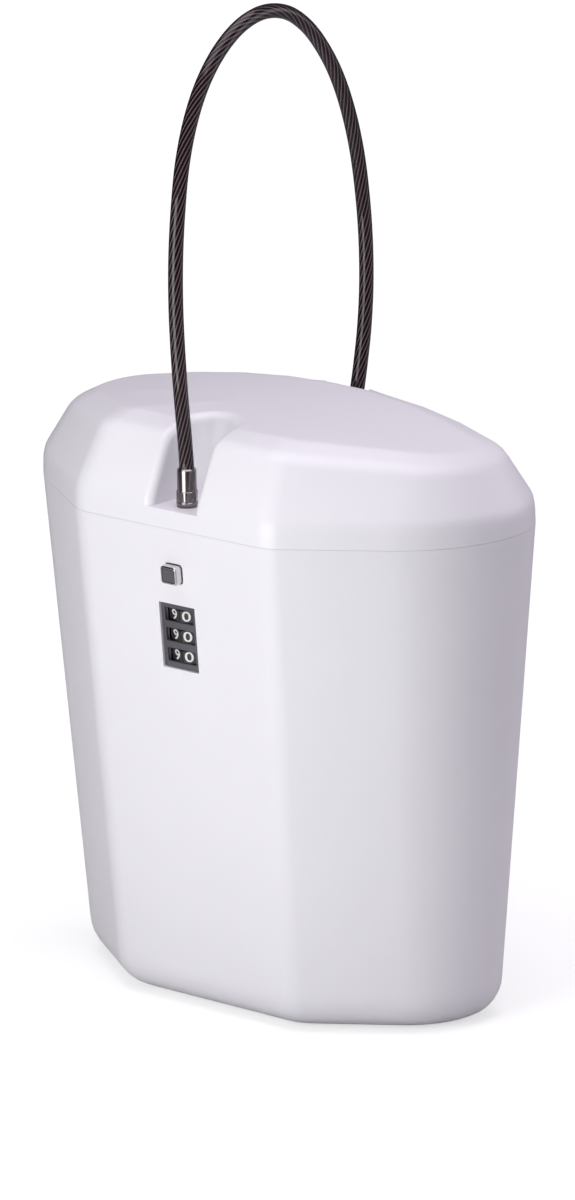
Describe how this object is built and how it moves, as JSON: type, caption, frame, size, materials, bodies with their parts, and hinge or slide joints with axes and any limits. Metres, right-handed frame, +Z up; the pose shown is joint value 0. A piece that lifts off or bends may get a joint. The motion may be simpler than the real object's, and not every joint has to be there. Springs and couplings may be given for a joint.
{
  "type": "portable safe",
  "caption": "Portable safe: drafted moulded case, bevelled hinged lid, wire rope loop whose plug locks through the lid, push button and code dials on the front.",
  "frame": {"origin": "middle of the base, on the surface that the safe stands on", "axes": "+Z up, the lock and the cable plug face -Y, +X to the right seen from the front"},
  "size_m": [0.194, 0.111, 0.3424],
  "materials": {
    "shell": "satin moulded white with a faint lavender cast",
    "inner": "plain moulded light grey",
    "seal": "matt black",
    "hinge": "painted to match the case",
    "steel": "plain turned steel",
    "zinc": "dark grey die casting",
    "plate": "gunmetal, satin",
    "dial": "dark grey with light numbers",
    "brass": "plain turned",
    "chrome": "bright nickel plate",
    "cable": "smoke coloured coat over wire strands"
  },
  "bodies": {
    "body": {"body_shell": "shell", "lock_housing": "zinc", "housing_screws": "steel", "dial_plate": "plate", "dial_axle": "steel", "click_spring": "steel", "button_spring": "steel", "hinge_base": "hinge", "hinge_pin": "steel", "base_screws": "steel"},
    "lid": {"lid_shell": "shell", "lid_liner": "inner", "liner_screws": "steel", "lid_seal": "seal", "plug_bush": "steel", "hinge_leaf": "hinge", "leaf_screws": "steel", "rear_ferrule": "chrome", "rear_rivet": "steel", "cable": "cable"},
    "plug": {"plug_pin": "steel", "plug_ferrule": "chrome"},
    "button": {"button_cap": "chrome", "lock_bolt": "steel", "fence_comb": "steel"},
    "dial_1": {"dial_wheel_1": "dial", "gate_cup_1": "brass"},
    "dial_2": {"dial_wheel_2": "dial", "gate_cup_2": "brass"},
    "dial_3": {"dial_wheel_3": "dial", "gate_cup_3": "brass"}
  },
  "joints": [
    {"name": "lid_hinge", "type": "hinge", "parent": "body", "child": "lid", "pos_m": [0, 0.05201, 0.1732], "axis": [-1, 0, 0], "range_deg": [0, 105]},
    {"name": "plug_pull", "type": "slide", "parent": "lid", "child": "plug", "axis": [0, 0, 1], "range_m": [0, 0.03], "deforming": ["cable"]},
    {"name": "button_press", "type": "slide", "parent": "body", "child": "button", "axis": [0, 0.9969, 0.0785], "range_m": [0, 0.003], "stiffness_N_per_m": 400, "deforming": ["button_spring"]},
    {"name": "dial_1_spin", "type": "hinge", "parent": "body", "child": "dial_1", "pos_m": [0, -0.04138, 0.1428], "axis": [0, -0.0785, 0.9969], "continuous": true},
    {"name": "dial_2_spin", "type": "hinge", "parent": "body", "child": "dial_2", "pos_m": [0, -0.04081, 0.13562], "axis": [0, -0.0785, 0.9969], "continuous": true},
    {"name": "dial_3_spin", "type": "hinge", "parent": "body", "child": "dial_3", "pos_m": [0, -0.04025, 0.12845], "axis": [0, -0.0785, 0.9969], "continuous": true}
  ]
}
